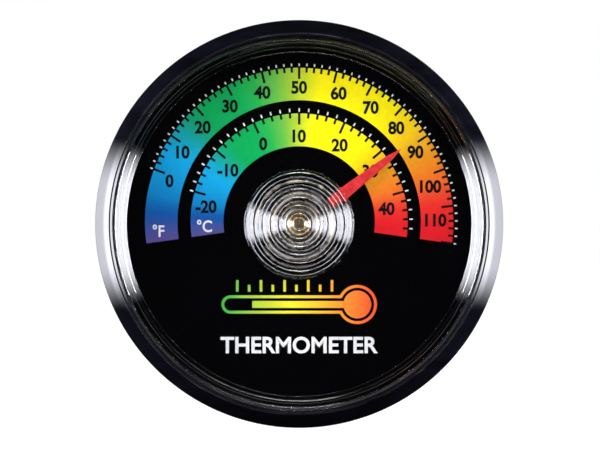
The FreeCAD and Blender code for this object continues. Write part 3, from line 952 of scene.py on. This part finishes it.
BACKING = 0.4                   # thickness
FRINGE_WIDTH = 1.4
FIBRE_COUNT = 700
FIBRE_SPREAD = 0.25             # how far a fibre bends sideways
FIBRE_STEPS = 7


def add_disc(name, radius, fillet, span, material, replaced=()):
    """A disc between the two depths of a span, nearer the mounting plane first."""
    low, high = span
    corners = [(0, high, 0), (radius, high, fillet), (radius, low, fillet), (0, low, 0)]
    turned(name, rounded_outline(corners), material, "case", replaced)


def build_fastener_half(node, backing_side, material, pile_material, seed, hooked):
    """One half of the fastener: a backing, a core and a fringe of hooks or loops at its rim."""
    low, high = back_depth(node), front_depth(node)
    radius = outer_radius(node)
    core = radius - FRINGE_WIDTH
    if backing_side == "back":
        base, tip = low + BACKING, high
        span = (low, base)
    else:
        base, tip = high - BACKING, low
        span = (base, high)
    add_disc(f"{node}_backing", radius - 0.1, 0.12, span, material, (node,))
    add_disc(f"{node}_core", core, 0.1, sorted((base, tip)), material)
    draw = random.Random(seed)
    bm = bmesh.new()
    rise = tip - base
    last, rate = (math.pi * 0.8, 0.5) if hooked else (math.pi, 1)
    for _ in range(FIBRE_COUNT):
        angle = draw.uniform(0, 360)
        reach = draw.uniform(core + 0.1, radius - 0.35)
        root = on_dial(reach, angle, base)
        lean = draw.uniform(0, 2 * math.pi)
        sideways = Vector((math.cos(lean), 0, math.sin(lean))) * FIBRE_SPREAD * MM
        height = Vector((0, -rise * draw.uniform(0.75, 0.98), 0)) * MM
        turns = [last * step / FIBRE_STEPS for step in range(FIBRE_STEPS + 1)]
        points = [root + sideways * (1 - math.cos(turn)) / 2 + height * math.sin(turn * rate)
                  for turn in turns]
        add_fibre(bm, points, draw.uniform(0.03, 0.05) * MM)
    finish_bmesh(bm, f"{node}_pile", pile_material, "case")


# ---------------------------------------------------------------- build

gloss = polished_black()
matt = moulded_black()
black_ink = printed("black_ink", (0.0015, 0.0015, 0.002, 1), (0.003, 0.003, 0.004, 1), 0.5)
ground_ink = printed("ground_ink", (0.0004, 0.0004, 0.0008, 1), (0.0009, 0.0009, 0.0016, 1),
                     0.6, shine=0.0)
white_ink = printed("white_ink", (0.74, 0.74, 0.75, 1), (0.82, 0.82, 0.82, 1), 0.5)
rainbow = rainbow_ink()
turned_brass = metal("turned_brass", (0.42, 0.27, 0.09, 1), (0.66, 0.46, 0.19, 1),
                     turned_marks=True)
strip_brass = metal("strip_brass", (0.48, 0.36, 0.18, 1), (0.66, 0.52, 0.28, 1))
strip_steel = metal("strip_steel", (0.36, 0.35, 0.33, 1), (0.52, 0.51, 0.48, 1))
spring_steel = metal("spring_steel", (0.3, 0.3, 0.31, 1), (0.5, 0.5, 0.5, 1))
weave = woven_black("woven_black", (0.025, 0.025, 0.027, 1))
pile = woven_black("pile_black", (0.04, 0.04, 0.043, 1))
film = adhesive_film()

build_bezel(gloss)
build_lens(clear_plastic())
build_band("fahrenheit_band", FAHRENHEIT_BAND, rainbow)
build_band("celsius_band", CELSIUS_BAND, rainbow)
build_ticks(white_ink, black_ink)
build_numerals(black_ink, white_ink)
build_symbol(symbol_ink())
build_coil(strip_brass, strip_steel)
build_fastener_half("hook_pad", "back", weave, pile, seed=3, hooked=True)
build_fastener_half("loop_pad", "front", weave, pile, seed=5, hooked=False)

softened_copy("rear_case", matt, "case", width=0.12)
red = red_enamel()
softened_copy("pointer", red, "pointer", width=0.09, segments=3)
softened_copy("pointer_clip", red, "pointer", width=0.03)
softened_copy("coil_post", turned_brass, "post", width=0.05)
softened_copy("post_bush", turned_brass, "case", width=0.04)
softened_copy("retaining_clip", spring_steel, "post", width=0.05)
softened_copy("friction_washer", spring_steel, "post", width=0.03)

for node, material in (("dial_plate", matt), ("scale_label", ground_ink), ("loop_adhesive", film),
                       ("hook_adhesive", film)):
    for material_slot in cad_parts[node].material_slots:
        material_slot.material = material


# ---------------------------------------------------------------- stage

FLOOR_HALF_WIDTH = 3.0          # in metres, like everything on the stage


def add_floor():
    """A pale floor just under the bezel, which only the camera sees."""
    half = FLOOR_HALF_WIDTH
    height = CAD_BOUNDS[0].z
    corners = [(-half, -half, height), (half, -half, height),
               (half, half, height), (-half, half, height)]
    mesh = bpy.data.meshes.new("floor")
    mesh.from_pydata(corners, [], [(0, 1, 2, 3)])
    surface = Surface("pale_floor", Roughness=0.9, Specular_IOR_Level=0.0)
    surface.vary_colour(surface.noise(3, 2), (0.2, 0.2, 0.2, 1), (0.22, 0.22, 0.22, 1))
    surface.shader.inputs["Emission Color"].default_value = (1, 1, 1, 1)
    surface.shader.inputs["Emission Strength"].default_value = 1.0
    mesh.materials.append(surface.material)
    floor = bpy.data.objects.new("floor", mesh)
    bpy.context.scene.collection.objects.link(floor)
    floor.visible_glossy = False
    floor.visible_diffuse = False
    floor.visible_transmission = False


DIAL_MIDDLE = Vector((0, 0, 0))


def add_softbox(name, place, width, height, radiance, glossy=False):
    """A rectangular lamp that faces the dial's middle. Its energy follows its size."""
    lamp = bpy.data.lights.new(name, "AREA")
    lamp.shape = "RECTANGLE"
    lamp.size = width
    lamp.size_y = height
    lamp.energy = radiance * math.pi * width * height
    holder = bpy.data.objects.new(name, lamp)
    bpy.context.scene.collection.objects.link(holder)
    holder.location = place
    holder.rotation_euler = (DIAL_MIDDLE - Vector(place)).to_track_quat("-Z", "Y").to_euler()
    holder.visible_camera = False
    holder.visible_glossy = glossy


CARD_TINT = (0.9, 0.91, 1.0, 1)


def add_card(name, vertices, faces, surface):
    """A glowing, slightly blue card that only shows in reflections."""
    surface.shader.inputs["Base Color"].default_value = (0, 0, 0, 1)
    surface.shader.inputs["Emission Color"].default_value = CARD_TINT
    mesh = bpy.data.meshes.new(name)
    mesh.from_pydata(vertices, [], faces)
    mesh.materials.append(surface.material)
    card = bpy.data.objects.new(name, mesh)
    bpy.context.scene.collection.objects.link(card)
    card.visible_camera = False
    card.visible_diffuse = False
    card.visible_transmission = False
    card.visible_shadow = False


CARD_DISTANCE = 0.5             # of the side cards from the dial's axis
CARD_FRONT = -0.55              # along Y
CARD_BACK = 0.3
CARD_HALF_HEIGHT = 0.24
CARD_RADIANCE = 18.0
FADE_START = 0.1                # height where a side card begins to fade, then where it is dark
FADE_END = 0.238


def add_side_card(side):
    """A tall card beside the dial: brightest towards the front, fading above, below and behind."""
    surface = Surface(f"side_card_{side}")
    split = surface.node("ShaderNodeSeparateXYZ")
    surface.links.new(surface.place, split.inputs["Vector"])
    along = surface.map(split.outputs["Y"], 0, 1, CARD_FRONT, CARD_BACK)
    tone = surface.ramp(along, [(0.0, (1, 1, 1, 1)), (0.5, (1, 1, 1, 1)),
                                (0.6, (0.55, 0.55, 0.55, 1)), (1.0, (0.26, 0.26, 0.26, 1))])
    height = surface.node("ShaderNodeMath", operation="ABSOLUTE")
    surface.links.new(split.outputs["Z"], height.inputs[0])
    fade = surface.node("ShaderNodeMapRange", interpolation_type="SMOOTHSTEP")
    for name, value in (("From Min", FADE_START), ("From Max", FADE_END),
                        ("To Min", CARD_RADIANCE), ("To Max", 0.0)):
        fade.inputs[name].default_value = value
    surface.links.new(height.outputs["Value"], fade.inputs["Value"])
    both = surface.node("ShaderNodeMath", operation="MULTIPLY")
    surface.links.new(tone, both.inputs[0])
    surface.links.new(fade.outputs["Result"], both.inputs[1])
    surface.links.new(both.outputs["Value"], surface.shader.inputs["Emission Strength"])
    x, up = side * CARD_DISTANCE, CARD_HALF_HEIGHT
    corners = [(x, CARD_FRONT, -up), (x, CARD_BACK, -up), (x, CARD_BACK, up), (x, CARD_FRONT, up)]
    add_card(f"side_card_{side}", corners, [(0, 1, 2, 3)], surface)


RING_CARD_RADII = (0.428, 0.55)
RING_CARD_PLACE = -0.3          # along Y
RING_CARD_STEPS = 72
RING_CARD_RADIANCE = (4.5, 14.0)    # at twelve and six o'clock, then at three and nine


def add_ring_card():
    """A dim ring of light in front of the dial, which the rings of the boss show as fine lines."""
    surface = Surface("ring_card")
    split = surface.node("ShaderNodeSeparateXYZ")
    surface.links.new(surface.place, split.inputs["Vector"])
    angle = surface.node("ShaderNodeMath", operation="ARCTAN2")
    surface.links.new(split.outputs["Z"], angle.inputs[0])
    surface.links.new(split.outputs["X"], angle.inputs[1])
    sideways = surface.node("ShaderNodeMath", operation="COSINE")
    surface.links.new(angle.outputs["Value"], sideways.inputs[0])
    square = surface.node("ShaderNodeMath", operation="POWER")
    square.inputs[1].default_value = 2.0
    surface.links.new(sideways.outputs["Value"], square.inputs[0])
    strength = surface.map(square.outputs["Value"], *RING_CARD_RADIANCE, 0.0, 1.0)
    surface.links.new(strength, surface.shader.inputs["Emission Strength"])
    count = RING_CARD_STEPS
    vertices = []
    faces = []
    for radius in RING_CARD_RADII:
        for step in range(count):
            turn = 2 * math.pi * step / count
            vertices.append((radius * math.cos(turn), RING_CARD_PLACE, radius * math.sin(turn)))
    for step in range(count):
        after = (step + 1) % count
        faces.append((step, after, count + after, count + step))
    add_card("ring_card", vertices, faces, surface)


WORLD_IN_REFLECTIONS = 0.008


def add_world():
    """White to the camera, and nearly dark in reflections, so that black plastic stays black."""
    world = bpy.data.worlds.new("studio")
    world.use_nodes = True
    nodes = world.node_tree.nodes
    links = world.node_tree.links
    background = nodes["Background"]
    path = nodes.new("ShaderNodeLightPath")
    seen = nodes.new("ShaderNodeMix")
    seen.inputs["A"].default_value = WORLD_IN_REFLECTIONS
    seen.inputs["B"].default_value = 1.0
    links.new(path.outputs["Is Camera Ray"], seen.inputs["Factor"])
    links.new(seen.outputs["Result"], background.inputs["Strength"])
    background.inputs["Color"].default_value = (1, 1, 1, 1)
    world.cycles.sampling_method = "NONE"
    bpy.context.scene.world = world


BEZEL_SHARE = 0.34              # of the picture's width, for the bezel's radius
CAMERA_SHIFT = (0.00012, -0.00015)  # along X and Z


def add_camera():
    """Straight on to the dial, from far enough to keep the rim nearly flat."""
    camera = bpy.data.cameras.new("camera")
    camera.lens = 200
    camera.sensor_width = 36
    holder = bpy.data.objects.new("camera", camera)
    bpy.context.scene.collection.objects.link(holder)
    rim_depth = (BEZEL_FRONT - ROLL_DROP) * MM
    distance = BEZEL_RADIUS * MM * camera.lens / (camera.sensor_width * BEZEL_SHARE)
    holder.location = (CAMERA_SHIFT[0], -rim_depth - distance, CAMERA_SHIFT[1])
    holder.rotation_euler = (math.pi / 2, 0, 0)
    bpy.context.scene.camera = holder


add_floor()
for side in (-1, 1):
    add_softbox(f"side_softbox_{side}", (side * 0.5, 0.0, 0.0),
                width=0.6, height=0.42, radiance=16)
    add_side_card(side)
add_ring_card()
add_softbox("top_lamp", (0.0, -0.26, 0.43), width=0.19, height=0.03, radiance=18, glossy=True)
add_softbox("front_fill", (0.1, -0.8, 0.5), width=0.5, height=0.5, radiance=1.5)
add_softbox("back_fill", (-0.3, 0.8, 0.5), width=0.5, height=0.5, radiance=4)
add_world()
add_camera()
bpy.context.scene.view_settings.view_transform = "Standard"
